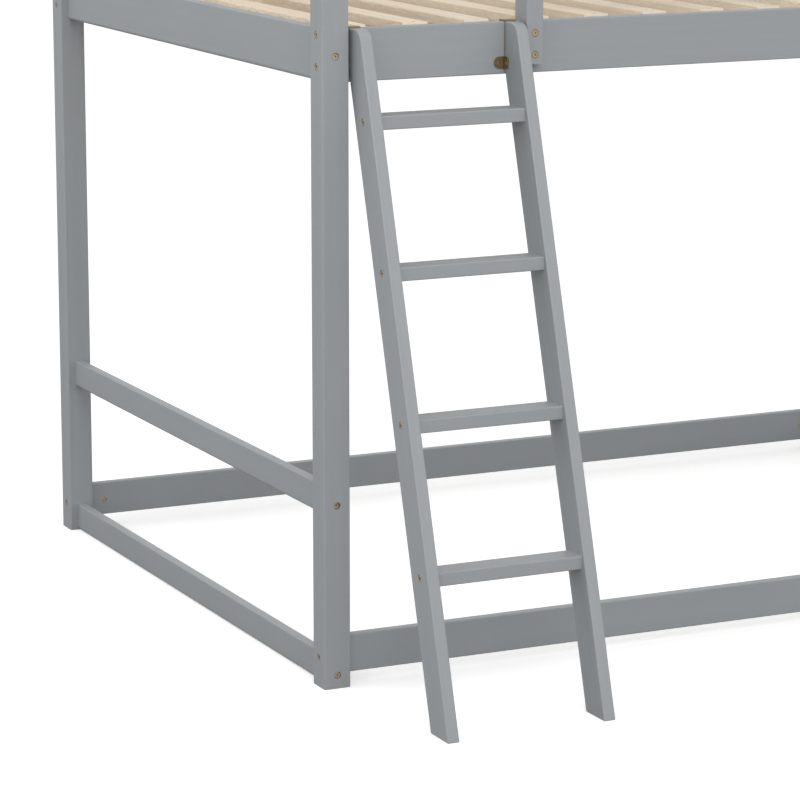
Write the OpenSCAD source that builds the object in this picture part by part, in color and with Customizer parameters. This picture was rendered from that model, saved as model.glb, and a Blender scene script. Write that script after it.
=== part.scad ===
// Full-over-full floor bunk bed with a leaning ladder.
// Every board, bolt, nut, screw and hook is its own solid.
// Bed coordinates: x runs from the left posts' outer face along the bed,
// y from the front posts' front face to the back, z up from the floor.

/* [Bed] */
// Overall length over the corner posts
bed_l = 2030; // [2020:5:2090]
// Overall width over the corner posts
bed_w = 1460; // [1440:5:1520]
// Height of the corner posts
post_h = 1590; // [1580:5:1700]
// Side of the square corner posts
post = 54; // [50:1:60]
// Radius along the long edges of posts and boards
edge_r = 2.5; // [1:0.5:4]
// Width of the eased edges round the post tops
ease = 2; // [1:0.5:3]

/* [Boards] */
// Thickness of every rail and guard board
board_t = 20; // [18:1:22]
// Height of the end rails and guard boards
board_h = 58; // [54:1:64]
// Height of the lower side rails
lower_h = 74; // [66:1:80]
// Height of the rails around the upper bunk
upper_h = 99; // [95:1:102]
// Radius along the outer lower edge of the end rails
soft_r = 7; // [3:1:8]

/* [Levels] */
// Floor to the underside of the low end rails
low_end_z = 1; // [0.5:0.5:3]
// Floor to the underside of the lower side rails
lower_z = 25; // [20:1:28]
// Floor to the underside of the middle end rails
mid_end_z = 332; // [300:1:400]
// Floor to the underside of the upper rails
upper_z = 1156; // [1120:1:1158]
// Upper rail top to the first guard board
guard_gap = 87; // [80:1:88]

/* [Slats] */
// Number of slats under the upper mattress
slat_n = 15; // [15]
// Width of a slat
slat_w = 52; // [45:1:60]
// Thickness of a slat
slat_t = 20; // [16:1:20]
// Spacing from slat to slat
slat_pitch = 128; // [124:1:130]
// Height of the slat tops above the rail tops
slat_proud = 4; // [2:0.5:5]
// Thickness of the ledgers that carry the slats
ledger_t = 23; // [20:1:28]
// Height of the ledgers
ledger_h = 38; // [34:1:44]
// Width of the centre beam under the slats
beam_w = 40; // [36:1:44]
// Height of the centre beam
beam_h = 60; // [50:1:64]

/* [Ladder] */
// Left post's outer face to the ladder's left side
ladder_x = 61.5; // [60:0.5:63]
// Overall width of the ladder
ladder_w = 346; // [330:1:346]
// Thickness of a stile
stile_t = 24; // [20:1:26]
// Depth of a stile, measured level
stile_d = 72; // [66:1:76]
// How far the ladder feet stand in front of the posts
foot_out = 406; // [400:1:410]
// Backward lean of the stiles over their height
lean = 0.299; // [0.297:0.001:0.301]
// Radius of the stile's front top corner
stile_r = 28; // [15:1:28]
// Floor to the underside of the first rung
rung_z = 268; // [250:1:280]
// Spacing from rung to rung
rung_pitch = 269; // [255:1:270]
// Thickness of a rung
rung_t = 26; // [20:1:28]
// Depth of a rung from front to back
rung_d = 52; // [45:1:54]
// Set-back of a rung's front face from the stile's front edge
rung_in = 5.7; // [5:0.1:7]

/* [Guard post] */
// Left post's outer face to the guard post
guard_x = 416; // [414:1:420]
// Width of the guard post along the bed
guard_w = 35; // [32:1:40]
// Depth of the guard post's tongue in front of the rail
tongue_t = 30.5; // [28:0.5:32]
// Floor to the lower end of the tongue
tongue_z = 1175; // [1165:1:1180]

/* [Hooks] */
// Thickness of the hook plate
hook_t = 2.5; // [2:0.1:2.8]
// Height of the ears at the foot of the hook
ear_h = 22.5; // [20:0.5:24]
// Reach of the ear along the rail
ear_l = 22; // [20:0.5:24]
// Reach of the ear along the stile
ear_f = 17; // [15:0.5:18]
// Length of the lip behind the rail
lip_l = 15; // [10:0.5:15]
// Clearance between the ladder and the bed
play = 0.3; // [0.3:0.05:0.4]

/* [Fasteners] */
// Diameter of a bolt head
head_d = 12.8; // [11:0.1:13.5]
// Diameter of the bore that a bolt head is sunk in
head_bore = 14.2; // [14:0.1:15]
// Thickness of a bolt head
head_h = 4; // [3:0.5:5]
// Depth of a bolt head below the wood's face
sunk = 0.6; // [0.4:0.1:2]
// Depth of the bolt heads at the middle end rails
sunk_deep = 5; // [3:0.5:8]
// Diameter of a bolt's shank
bolt_d = 6; // [5:0.5:7]
// Diameter of a barrel nut
nut_d = 10; // [9:0.5:11]
// Length of a barrel nut
nut_l = 16; // [14:0.5:17]
// Board end to the barrel nut's centre
nut_in = 34; // [30:1:40]
// Diameter of a wood screw's head
screw_head_d = 8; // [7:0.5:9]
// Diameter of a wood screw's shank
screw_d = 4; // [3.5:0.1:4.2]

/* [Hidden] */
$fn = 48;
fit = 0.2;
eps = 1;
nut_sunk = 1;
nut_reach = board_t / 2 - nut_sunk;

inset = (post - board_t) / 2;
mid = post / 2;
rail_top = upper_z + upper_h;
slat_top = rail_top + slat_proud;
slat_z = slat_top - slat_t;
guard_low_z = rail_top + guard_gap;
guard_high_z = guard_low_z + board_h + guard_gap + 1;
guard_post_top = guard_high_z + board_h + 12;
guard_y = inset - tongue_t;
inner_x = inset + board_t;
slat_x0 = post + 1;
slat_y0 = inner_x + 4;
slat_len = bed_w - 2 * slat_y0;
hook_back = inset - play;
stile_back = hook_back - hook_t;
ear_z = upper_z + 11;
stile_xs = [ladder_x, ladder_x + ladder_w - stile_t];
stop_top = rail_top;

// bolt heights: one line for each board that meets a post
lower_bolts = [lower_z + 34];
upper_bolts = [upper_z + 30, upper_z + 89];
guard_side_bolts = [guard_low_z + 39, guard_high_z + 39];
guard_end_bolts = [guard_low_z + 19, guard_high_z + 19];
side_bolts = concat(lower_bolts, upper_bolts);
all_side_bolts = concat(side_bolts, guard_side_bolts);
low_end_bolt = low_end_z + 25;
mid_end_bolt = mid_end_z + 26;
upper_end_bolt = upper_z + 50;

// ladder outline: level coordinates along y and up z
function front_y(z) = -foot_out + lean * z;
function back_y(z) = front_y(z) + stile_d;
function rung_bottom(i) = rung_z + i * rung_pitch;
function rung_front(i) = front_y(rung_bottom(i) + rung_t) + rung_in;
lean_deg = atan(lean);
corner_cut = stile_r * tan((90 - lean_deg) / 2);
arc_y = front_y(stop_top) + corner_cut;
arc_z = stop_top - stile_r;

WOOD = "#989da0";
PINE = "#dcc8a6";
BRASS = "#a68c55";
STEEL = "#8f9195";

FRAME_NODES = ["post_front_left", "post_front_right", "post_back_left", "post_back_right",
    "lower_rail_front", "lower_rail_back", "low_end_rail_left", "low_end_rail_right",
    "mid_end_rail_left", "mid_end_rail_right", "upper_rail_front", "upper_rail_back",
    "upper_end_rail_left", "upper_end_rail_right"];
DECK_NODES = ["slat_ledger_front", "slat_ledger_back", "centre_beam",
    "beam_socket_left", "beam_socket_right",
    "slat_01", "slat_02", "slat_03", "slat_04", "slat_05", "slat_06", "slat_07", "slat_08",
    "slat_09", "slat_10", "slat_11", "slat_12", "slat_13", "slat_14", "slat_15"];
GUARD_NODES = ["guard_post", "guard_front_low", "guard_front_high", "guard_back_low",
    "guard_back_high", "guard_left_low", "guard_left_high", "guard_right_low",
    "guard_right_high"];
LADDER_NODES = ["ladder_stile_left", "ladder_stile_right", "ladder_rung_1", "ladder_rung_2",
    "ladder_rung_3", "ladder_rung_4", "ladder_hook_left", "ladder_hook_right"];
FASTENER_NODES = ["side_rail_bolts", "end_rail_bolts", "guard_bolts", "barrel_nuts",
    "rung_bolts", "hook_screws", "frame_screws", "slat_screws"];

// ---------------------------------------------------------------- placing

// From bed coordinates to the middle of the whole object's footprint.
module in_frame() {
    translate([-bed_l / 2, -(bed_w - foot_out) / 2, 0]) children();
}

module toward_x(p) { translate(p) rotate([0, 90, 0]) children(); }
module away_x(p) { translate(p) rotate([0, -90, 0]) children(); }
module toward_y(p) { translate(p) rotate([-90, 0, 0]) children(); }

// Children made for the left end or the front, mirrored to the other one.
module to_right() { in_frame() translate([bed_l, 0, 0]) mirror([1, 0, 0]) children(); }
module to_back() { in_frame() translate([0, bed_w, 0]) mirror([0, 1, 0]) children(); }

// The children at the left end, and again mirrored at the right end.
module both_ends() {
    children();
    translate([bed_l, 0, 0]) mirror([1, 0, 0]) children();
}

// The children at the front, and again mirrored at the back.
module both_sides() {
    children();
    translate([0, bed_w, 0]) mirror([0, 1, 0]) children();
}

// ---------------------------------------------------------------- boards

// Cross-section w by h with one radius for each corner, counter-clockwise
// from the lower left.
module section(w, h, r) {
    polygon([[r[0], 0], [w - r[1], 0], [w, r[1]], [w, h - r[2]],
        [w - r[2], h], [r[3], h], [0, h - r[3]], [0, r[0]]]);
    translate([r[0], r[0]]) circle(r[0]);
    translate([w - r[1], r[1]]) circle(r[1]);
    translate([w - r[2], h - r[2]]) circle(r[2]);
    translate([r[3], h - r[3]]) circle(r[3]);
}

function even(r) = [r, r, r, r];

// What is cut off round the top of a w by d post to ease its edges.
module top_easing(w, d, z) {
    side = ease * sqrt(2);
    for (x = [0, w])
        translate([x, d / 2, z]) rotate([0, 45, 0]) cube([side, d + 2 * eps, side], center = true);
    for (y = [0, d])
        translate([w / 2, y, z]) rotate([45, 0, 0]) cube([w + 2 * eps, side, side], center = true);
}

// Board along x from x0 to x1: t thick in y, h high in z.
module board_x(x0, x1, y, z, t, h, r = even(edge_r)) {
    translate([x0, y, z]) rotate([90, 0, 90]) linear_extrude(x1 - x0) section(t, h, r);
}

// Board along y from y0 to y1: t thick in x, h high in z.
module board_y(y0, y1, x, z, t, h, r = even(edge_r)) {
    translate([x, y1, z]) rotate([90, 0, 0]) linear_extrude(y1 - y0) section(t, h, r);
}

// ---------------------------------------------------------------- fasteners

// Furniture bolt pointing up z, its head sunk below the face at z = 0.
module bolt(reach, depth = sunk) {
    difference() {
        union() {
            translate([0, 0, depth]) cylinder(d = head_d, h = head_h);
            translate([0, 0, depth]) cylinder(d = bolt_d, h = reach - depth);
        }
        translate([0, 0, depth - eps]) cylinder(d = 5.5, h = 2.6 + eps, $fn = 6);
    }
}

// The room that the bolt needs in the wood.
module bolt_hole(reach, depth = sunk) {
    translate([0, 0, -eps]) cylinder(d = head_bore, h = depth + head_h + eps);
    translate([0, 0, -eps]) cylinder(d = bolt_d + 2 * fit, h = reach + fit + eps);
}

// Cross-drilled barrel nut, its axis up z and its top face at z = 0.
module barrel_nut() {
    difference() {
        translate([0, 0, -nut_l]) cylinder(d = nut_d, h = nut_l);
        translate([0, 0, -nut_reach]) rotate([0, 90, 0])
            cylinder(d = bolt_d + 2 * fit, h = 2 * nut_d, center = true);
        translate([-nut_d, -0.7, -1]) cube([2 * nut_d, 1.4, 1 + eps]);
    }
}

module nut_hole() {
    translate([0, 0, -nut_l - fit]) cylinder(d = nut_d + 2 * fit, h = nut_l + nut_sunk + fit + eps);
}

// Countersunk wood screw pointing down z, its head's top at z = 0.
module screw(reach) {
    difference() {
        union() {
            translate([0, 0, -2]) cylinder(d1 = screw_d, d2 = screw_head_d, h = 2);
            translate([0, 0, -reach]) cylinder(d = screw_d, h = reach - 1);
        }
        translate([-2.4, -0.5, -1]) cube([4.8, 1, 1 + eps]);
        translate([-0.5, -2.4, -1]) cube([1, 4.8, 1 + eps]);
    }
}

module screw_hole(reach) {
    translate([0, 0, -2 - fit]) cylinder(d1 = screw_d + fit, d2 = screw_head_d + 3 * fit, h = 2 + fit);
    translate([0, 0, -eps / 100]) cylinder(d = screw_head_d + 3 * fit, h = eps);
    translate([0, 0, -reach - fit]) cylinder(d = screw_d + 2 * fit, h = reach);
}

bolt_reach = post + nut_in + 8;
guard_reach = guard_w + nut_in + 8;

// Every bolt of one corner, seen as the front left corner.
module corner_side_bolts(zs) { for (z = zs) toward_x([0, mid, z]) children(); }
module corner_end_bolts(zs) { for (z = zs) toward_y([mid, 0, z]) children(); }

// ---------------------------------------------------------------- frame

// Drilled as the front left corner and mirrored to the other three.
module corner_post(side_zs) {
    color(WOOD) difference() {
        linear_extrude(post_h) section(post, post, even(edge_r));
        top_easing(post, post, post_h);
        corner_side_bolts(side_zs) bolt_hole(post + eps);
        corner_end_bolts(concat([low_end_bolt, upper_end_bolt], guard_end_bolts)) bolt_hole(post + eps);
        corner_end_bolts([mid_end_bolt]) bolt_hole(post + eps, sunk_deep);
    }
}

// The front left post meets no front guard board: the ladder's way in is there.
module post_front_left() { in_frame() corner_post(side_bolts); }
module post_front_right() { to_right() corner_post(all_side_bolts); }
module post_back_left() { to_back() corner_post(all_side_bolts); }
module post_back_right() {
    in_frame() translate([bed_l, bed_w, 0]) mirror([1, 0, 0]) mirror([0, 1, 0]) corner_post(all_side_bolts);
}

// Bores in both ends of a side board at the front, its nuts entering from inside.
module side_bores(zs) {
    both_ends() {
        corner_side_bolts(zs) bolt_hole(bolt_reach);
        for (z = zs) toward_y([post + nut_in, inner_x - nut_sunk, z]) nut_hole();
    }
}

module side_board(z, h, zs) {
    color(WOOD) difference() {
        board_x(post, bed_l - post, inset, z, board_t, h);
        side_bores(zs);
    }
}

// Screw places along a ledger
ledger_n = 7;
function ledger_x(i) = post + 80 + i * (bed_l - 2 * post - 160) / (ledger_n - 1);
ledger_z = slat_z - ledger_h;
ledger_reach = ledger_t + board_t - 6;
module ledger_screw_places() {
    for (i = [0 : ledger_n - 1])
        translate([ledger_x(i), inner_x + ledger_t, ledger_z + ledger_h / 2]) rotate([-90, 0, 0]) children();
}

// Bolts that hold the guard post's tongue to the front rail
guard_post_bolts = [tongue_z + 18, tongue_z + 58.5];
tongue_reach = tongue_t + board_t - 3;
module guard_post_bolt_places() {
    for (z = guard_post_bolts) toward_y([guard_x + guard_w / 2, guard_y, z]) children();
}

module lower_rail_front() { in_frame() side_board(lower_z, lower_h, lower_bolts); }
module lower_rail_back() { to_back() side_board(lower_z, lower_h, lower_bolts); }
module upper_side_rail() {
    color(WOOD) difference() {
        side_board(upper_z, upper_h, upper_bolts);
        ledger_screw_places() screw_hole(ledger_reach);
    }
}
module upper_rail_front() {
    in_frame() color(WOOD) difference() {
        upper_side_rail();
        guard_post_bolt_places() bolt_hole(tongue_reach);
    }
}
module upper_rail_back() { to_back() upper_side_rail(); }

// Bores in both ends of an end board at the left, its nuts entering from inside.
module end_bores(z, depth) {
    both_sides() {
        toward_y([mid, 0, z]) bolt_hole(bolt_reach, depth);
        toward_x([inner_x - nut_sunk, post + nut_in, z]) nut_hole();
    }
}

module end_board(z, h, bolt_z, depth, r) {
    color(WOOD) difference() {
        board_y(post, bed_w - post, inset, z, board_t, h, r);
        end_bores(bolt_z, depth);
    }
}

soft_edges = [soft_r, edge_r, edge_r, edge_r];
module low_end_rail() { end_board(low_end_z, board_h, low_end_bolt, sunk, soft_edges); }
module mid_end_rail() { end_board(mid_end_z, board_h, mid_end_bolt, sunk_deep, soft_edges); }
module upper_end_rail() {
    color(WOOD) difference() {
        end_board(upper_z, upper_h, upper_end_bolt, sunk, soft_edges);
        socket_screw_places() screw_hole(socket_reach);
    }
}
module low_end_rail_left() { in_frame() low_end_rail(); }
module low_end_rail_right() { to_right() low_end_rail(); }
module mid_end_rail_left() { in_frame() mid_end_rail(); }
module mid_end_rail_right() { to_right() mid_end_rail(); }
module upper_end_rail_left() { in_frame() upper_end_rail(); }
module upper_end_rail_right() { to_right() upper_end_rail(); }

// ---------------------------------------------------------------- slat deck

function slat_x(i) = slat_x0 + i * slat_pitch;
slat_reach = slat_t + 16;
slat_screw_y = inner_x + ledger_t / 2;

module slat_screw_places(i) {
    both_sides() translate([slat_x(i) + slat_w / 2, slat_screw_y, slat_top]) children();
}

module slat(i) {
    in_frame() color(PINE) difference() {
        board_y(slat_y0, slat_y0 + slat_len, slat_x(i), slat_z, slat_w, slat_t);
        slat_screw_places(i) screw_hole(slat_reach);
    }
}

module slat_ledger() {
    color(PINE) difference() {
        board_x(post, bed_l - post, inner_x, ledger_z, ledger_t, ledger_h);
        ledger_screw_places() screw_hole(ledger_reach);
        for (i = [0 : slat_n - 1]) slat_screw_places(i) screw_hole(slat_reach);
    }
}
module slat_ledger_front() { in_frame() slat_ledger(); }
module slat_ledger_back() { to_back() slat_ledger(); }

// Steel sockets on the upper end rails that carry the centre beam
socket_t = 2;
socket_l = 34;
socket_wing = 16;
socket_reach = 16;
beam_z = slat_z - beam_h;
module centre_beam() {
    x0 = inner_x + socket_t + fit;
    in_frame() color(PINE)
        board_x(x0, bed_l - x0, (bed_w - beam_w) / 2, beam_z, beam_w, beam_h);
}

module socket_screw_places() {
    for (y = [-1, 1], z = [12, beam_h - 12])
        translate([inner_x + socket_t, bed_w / 2 + y * (beam_w / 2 + socket_wing / 2 + 2), beam_z + z])
            rotate([0, 90, 0]) children();
}

module beam_socket() {
    w = beam_w + 2 * fit;
    color(STEEL) difference() {
        union() {
            translate([inner_x, (bed_w - w) / 2 - socket_wing - socket_t, beam_z - fit - socket_t])
                cube([socket_t, w + 2 * (socket_wing + socket_t), beam_h - 2]);
            translate([inner_x, (bed_w - w) / 2 - socket_t, beam_z - fit - socket_t])
                cube([socket_l, w + 2 * socket_t, beam_h - 2]);
        }
        translate([inner_x + socket_t, (bed_w - w) / 2, beam_z - fit])
            cube([socket_l, w, beam_h]);
        socket_screw_places() screw_hole(socket_reach);
    }
}
module beam_socket_left() { in_frame() beam_socket(); }
module beam_socket_right() { to_right() beam_socket(); }

// ---------------------------------------------------------------- guards

// Square post, notched so that it stands on the rail and its tongue hangs in
// front of it.
module guard_post() {
    in_frame() color(WOOD) difference() {
        translate([guard_x, guard_y, tongue_z]) linear_extrude(guard_post_top - tongue_z)
            section(guard_w, tongue_t + board_t, even(edge_r));
        translate([guard_x - eps, inset, tongue_z - eps])
            cube([guard_w + 2 * eps, board_t + eps, rail_top - tongue_z + eps]);
        translate([guard_x, guard_y, 0]) top_easing(guard_w, tongue_t + board_t, guard_post_top);
        guard_post_bolt_places() bolt_hole(tongue_reach);
        for (z = guard_side_bolts) toward_x([guard_x, mid, z]) bolt_hole(guard_reach);
    }
}

// Front guard boards run from the guard post to the right posts.
module guard_front(z, bolt_z) {
    in_frame() color(WOOD) difference() {
        board_x(guard_x + guard_w, bed_l - post, inset, z, board_t, board_h);
        toward_x([guard_x, mid, bolt_z]) bolt_hole(guard_reach);
        away_x([bed_l, mid, bolt_z]) bolt_hole(bolt_reach);
        for (x = [guard_x + guard_w + nut_in, bed_l - post - nut_in])
            toward_y([x, inner_x - nut_sunk, bolt_z]) nut_hole();
    }
}
module guard_front_low() { guard_front(guard_low_z, guard_side_bolts[0]); }
module guard_front_high() { guard_front(guard_high_z, guard_side_bolts[1]); }

module guard_back(z, bolt_z) { to_back() side_board(z, board_h, [bolt_z]); }
module guard_back_low() { guard_back(guard_low_z, guard_side_bolts[0]); }
module guard_back_high() { guard_back(guard_high_z, guard_side_bolts[1]); }

module guard_end(z, bolt_z) { end_board(z, board_h, bolt_z, sunk, even(edge_r)); }
module guard_left_low() { in_frame() guard_end(guard_low_z, guard_end_bolts[0]); }
module guard_left_high() { in_frame() guard_end(guard_high_z, guard_end_bolts[1]); }
module guard_right_low() { to_right() guard_end(guard_low_z, guard_end_bolts[0]); }
module guard_right_high() { to_right() guard_end(guard_high_z, guard_end_bolts[1]); }

// ---------------------------------------------------------------- ladder

rung_bolt_reach = stile_t + 42;
module rung_bolt_places() {
    for (i = [0 : 3]) {
        y = rung_front(i) + rung_d / 2;
        z = rung_bottom(i) + rung_t / 2;
        toward_x([ladder_x, y, z]) children();
        away_x([ladder_x + ladder_w, y, z]) children();
    }
}

// Screws of one hook, for a stile whose inner face is at x and whose
// inside lies toward side (1 or -1).
hook_reach = 20;
hook_screw_z = [ear_z + 44, ear_z + 66];
function hook_side(i) = i == 0 ? 1 : -1;
function inner_face(i) = i == 0 ? stile_xs[0] + stile_t : stile_xs[1];
module hook_screw_places(i) {
    for (z = hook_screw_z)
        translate([stile_xs[i] + stile_t / 2, hook_back, z]) rotate([-90, 0, 0]) children();
    translate([inner_face(i) + hook_side(i) * hook_t, stile_back - ear_f + 6, ear_z + ear_h / 2])
        rotate([0, hook_side(i) * 90, 0]) children();
}

// Stile seen from the side: leaning front and back, level foot and top,
// and a plumb back where it meets the rail.
module stile(i) {
    meet_z = (stile_back - stile_d + foot_out) / lean;
    in_frame() color(WOOD) difference() {
        translate([stile_xs[i], 0, 0]) rotate([90, 0, 90]) linear_extrude(stile_t)
            polygon([[front_y(0), 0], [back_y(0), 0], [stile_back, meet_z],
                [stile_back, stop_top], [front_y(stop_top), stop_top]]);
        translate([stile_xs[i] - eps, 0, 0]) rotate([90, 0, 90]) difference() {
            linear_extrude(stile_t + 2 * eps)
                polygon([[arc_y, arc_z], [arc_y, stop_top + eps],
                    [front_y(stop_top) - 2 * eps, stop_top + eps],
                    [arc_y - (stile_r + eps) * cos(lean_deg), arc_z + (stile_r + eps) * sin(lean_deg)]]);
            translate([arc_y, arc_z, -eps]) cylinder(r = stile_r, h = stile_t + 4 * eps, $fn = 96);
        }
        rung_bolt_places() bolt_hole(rung_bolt_reach);
        hook_screw_places(i) screw_hole(hook_reach);
    }
}
module ladder_stile_left() { stile(0); }
module ladder_stile_right() { stile(1); }

module rung(i) {
    in_frame() color(WOOD) difference() {
        board_x(ladder_x + stile_t, ladder_x + ladder_w - stile_t,
            rung_front(i), rung_bottom(i), rung_d, rung_t);
        rung_bolt_places() bolt_hole(rung_bolt_reach);
    }
}
module ladder_rung_1() { rung(0); }
module ladder_rung_2() { rung(1); }
module ladder_rung_3() { rung(2); }
module ladder_rung_4() { rung(3); }

// Hook of folded plate: a strip behind the stile, a flange and lip over
// the rail, an ear along the rail and an ear along the stile's inner face.
module hook(i) {
    side = hook_side(i);
    face = inner_face(i);
    top = rail_top + play;
    in_frame() color(BRASS) difference() {
        union() {
            translate([stile_xs[i], stile_back, ear_z]) cube([stile_t, hook_t, top + hook_t - ear_z]);
            translate([stile_xs[i], stile_back, top])
                cube([stile_t, board_t + 2 * (hook_t + play), hook_t]);
            translate([stile_xs[i], inner_x + play, top + hook_t - lip_l]) cube([stile_t, hook_t, lip_l]);
            translate([side > 0 ? face - eps : face - ear_l + ear_h / 2, stile_back, ear_z])
                cube([ear_l - ear_h / 2 + eps, hook_t, ear_h]);
            toward_y([face + side * (ear_l - ear_h / 2), stile_back, ear_z + ear_h / 2])
                cylinder(d = ear_h, h = hook_t);
            translate([side > 0 ? face : face - hook_t, stile_back - ear_f, ear_z])
                cube([hook_t, ear_f + hook_t, ear_h]);
        }
        toward_y([face + side * (ear_l - 9), stile_back - eps, ear_z + ear_h / 2])
            cylinder(d = 4.5, h = hook_t + 2 * eps);
        hook_screw_places(i) screw_hole(hook_reach);
    }
}
module ladder_hook_left() { hook(0); }
module ladder_hook_right() { hook(1); }

// ---------------------------------------------------------------- fastener groups

module side_rail_bolts() {
    in_frame() color(BRASS) both_sides() both_ends() corner_side_bolts(side_bolts) bolt(bolt_reach);
}

module end_rail_bolts() {
    in_frame() color(BRASS) both_sides() both_ends() {
        corner_end_bolts([low_end_bolt, upper_end_bolt]) bolt(bolt_reach);
        corner_end_bolts([mid_end_bolt]) bolt(bolt_reach, sunk_deep);
    }
}

module guard_bolts() {
    in_frame() color(BRASS) {
        both_sides() both_ends() corner_end_bolts(guard_end_bolts) bolt(bolt_reach);
        translate([0, bed_w, 0]) mirror([0, 1, 0]) both_ends()
            corner_side_bolts(guard_side_bolts) bolt(bolt_reach);
        for (z = guard_side_bolts) {
            toward_x([guard_x, mid, z]) bolt(guard_reach);
            away_x([bed_l, mid, z]) bolt(bolt_reach);
        }
        guard_post_bolt_places() bolt(tongue_reach);
    }
}

// Nuts stand with their cross hole in line with their bolts.
module side_nuts(zs) {
    for (z = zs) toward_y([post + nut_in, inner_x - nut_sunk, z]) barrel_nut();
}
module end_nuts(zs) {
    for (z = zs) translate([inner_x - nut_sunk, post + nut_in, z]) rotate([0, 90, 0])
        rotate([0, 0, 90]) barrel_nut();
}
module barrel_nuts() {
    in_frame() color(BRASS) {
        both_sides() both_ends() {
            side_nuts(side_bolts);
            end_nuts(concat([low_end_bolt, mid_end_bolt, upper_end_bolt], guard_end_bolts));
        }
        translate([0, bed_w, 0]) mirror([0, 1, 0]) both_ends() side_nuts(guard_side_bolts);
        translate([bed_l, 0, 0]) mirror([1, 0, 0]) side_nuts(guard_side_bolts);
        translate([guard_x + guard_w - post, 0, 0]) side_nuts(guard_side_bolts);
    }
}

module rung_bolts() { in_frame() color(BRASS) rung_bolt_places() bolt(rung_bolt_reach); }
module hook_screws() { in_frame() color(BRASS) for (i = [0, 1]) hook_screw_places(i) screw(hook_reach); }
module frame_screws() {
    in_frame() color(STEEL) {
        both_sides() ledger_screw_places() screw(ledger_reach);
        both_ends() socket_screw_places() screw(socket_reach);
    }
}
module slat_screws() {
    in_frame() color(STEEL) for (i = [0 : slat_n - 1]) slat_screw_places(i) screw(slat_reach);
}

post_front_left();
post_front_right();
post_back_left();
post_back_right();
lower_rail_front();
lower_rail_back();
low_end_rail_left();
low_end_rail_right();
mid_end_rail_left();
mid_end_rail_right();
upper_rail_front();
upper_rail_back();
upper_end_rail_left();
upper_end_rail_right();
slat_ledger_front();
slat_ledger_back();
centre_beam();
beam_socket_left();
beam_socket_right();
slat(0);  // slat_01
slat(1);  // slat_02
slat(2);  // slat_03
slat(3);  // slat_04
slat(4);  // slat_05
slat(5);  // slat_06
slat(6);  // slat_07
slat(7);  // slat_08
slat(8);  // slat_09
slat(9);  // slat_10
slat(10);  // slat_11
slat(11);  // slat_12
slat(12);  // slat_13
slat(13);  // slat_14
slat(14);  // slat_15
guard_post();
guard_front_low();
guard_front_high();
guard_back_low();
guard_back_high();
guard_left_low();
guard_left_high();
guard_right_low();
guard_right_high();
ladder_stile_left();
ladder_stile_right();
ladder_rung_1();
ladder_rung_2();
ladder_rung_3();
ladder_rung_4();
ladder_hook_left();
ladder_hook_right();
side_rail_bolts();
end_rail_bolts();
guard_bolts();
barrel_nuts();
rung_bolts();
hook_screws();
frame_screws();
slat_screws();
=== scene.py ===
"""Bunk bed with a leaning ladder: painted boards, pine slat deck, brass fittings."""
import math
import random

import bmesh
import bpy
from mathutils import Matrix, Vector


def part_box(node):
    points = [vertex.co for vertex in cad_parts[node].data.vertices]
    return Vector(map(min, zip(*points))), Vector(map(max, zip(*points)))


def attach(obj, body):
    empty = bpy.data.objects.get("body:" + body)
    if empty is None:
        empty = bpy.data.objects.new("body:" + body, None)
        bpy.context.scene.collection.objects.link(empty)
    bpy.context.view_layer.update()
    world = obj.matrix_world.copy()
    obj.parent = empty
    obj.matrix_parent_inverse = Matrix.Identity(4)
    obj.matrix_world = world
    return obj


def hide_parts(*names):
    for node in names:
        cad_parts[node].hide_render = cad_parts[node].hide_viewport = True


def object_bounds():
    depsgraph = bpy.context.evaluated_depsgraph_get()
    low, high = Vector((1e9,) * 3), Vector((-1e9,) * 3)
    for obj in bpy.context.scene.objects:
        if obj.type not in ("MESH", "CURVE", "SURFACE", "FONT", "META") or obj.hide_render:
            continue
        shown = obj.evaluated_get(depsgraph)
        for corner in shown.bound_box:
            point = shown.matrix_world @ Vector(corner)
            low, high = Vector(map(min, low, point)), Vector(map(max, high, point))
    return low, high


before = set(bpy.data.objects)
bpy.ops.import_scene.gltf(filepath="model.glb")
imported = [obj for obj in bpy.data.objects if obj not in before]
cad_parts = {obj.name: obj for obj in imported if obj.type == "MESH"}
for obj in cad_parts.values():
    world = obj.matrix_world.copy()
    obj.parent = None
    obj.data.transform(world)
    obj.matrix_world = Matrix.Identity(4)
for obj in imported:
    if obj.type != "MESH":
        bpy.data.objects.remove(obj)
cad_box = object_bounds()

# ---------------------------------------------------------------- sizes, in metres

LEAN = 0.299  # how far the ladder leans in for each metre of height
STILE_DEPTH = 0.072  # level depth of a stile
STILE_TOP_RADIUS = 0.028
EDGE_RADIUS = 0.0022  # softened edges of the ladder's stiles
HEAD_RADIUS = 0.0064  # bolt heads
HEAD_BORE = 0.0071  # radius of the bore that a bolt head is sunk in
HEAD_PLAY = 0.0004  # how far a bolt head sits off the middle of its bore
HEAD_HEIGHT = 0.004
SHANK_RADIUS = 0.003
NUT_RADIUS = 0.005
NUT_LENGTH = 0.016
SCREW_HEAD_RADIUS = 0.004
SCREW_HEAD_HEIGHT = 0.002
SCREW_RADIUS = 0.002
HOOK_PLATE = 0.0025  # thickness of the hooks' brass
HOOK_EDGE = 0.0004  # rounding of its edges, and its room beside the stile's faces
HOOK_LIP = 0.015  # how far the lip hangs down behind the rail
EAR_HEIGHT = 0.0225
EAR_OUT = 0.022  # how far the ear stands out beside the stile
EAR_ALONG_STILE = 0.017
EAR_CORNER = 0.005
EAR_HOLE_INSET = 0.009
EAR_HOLE_RADIUS = 0.00225

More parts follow.
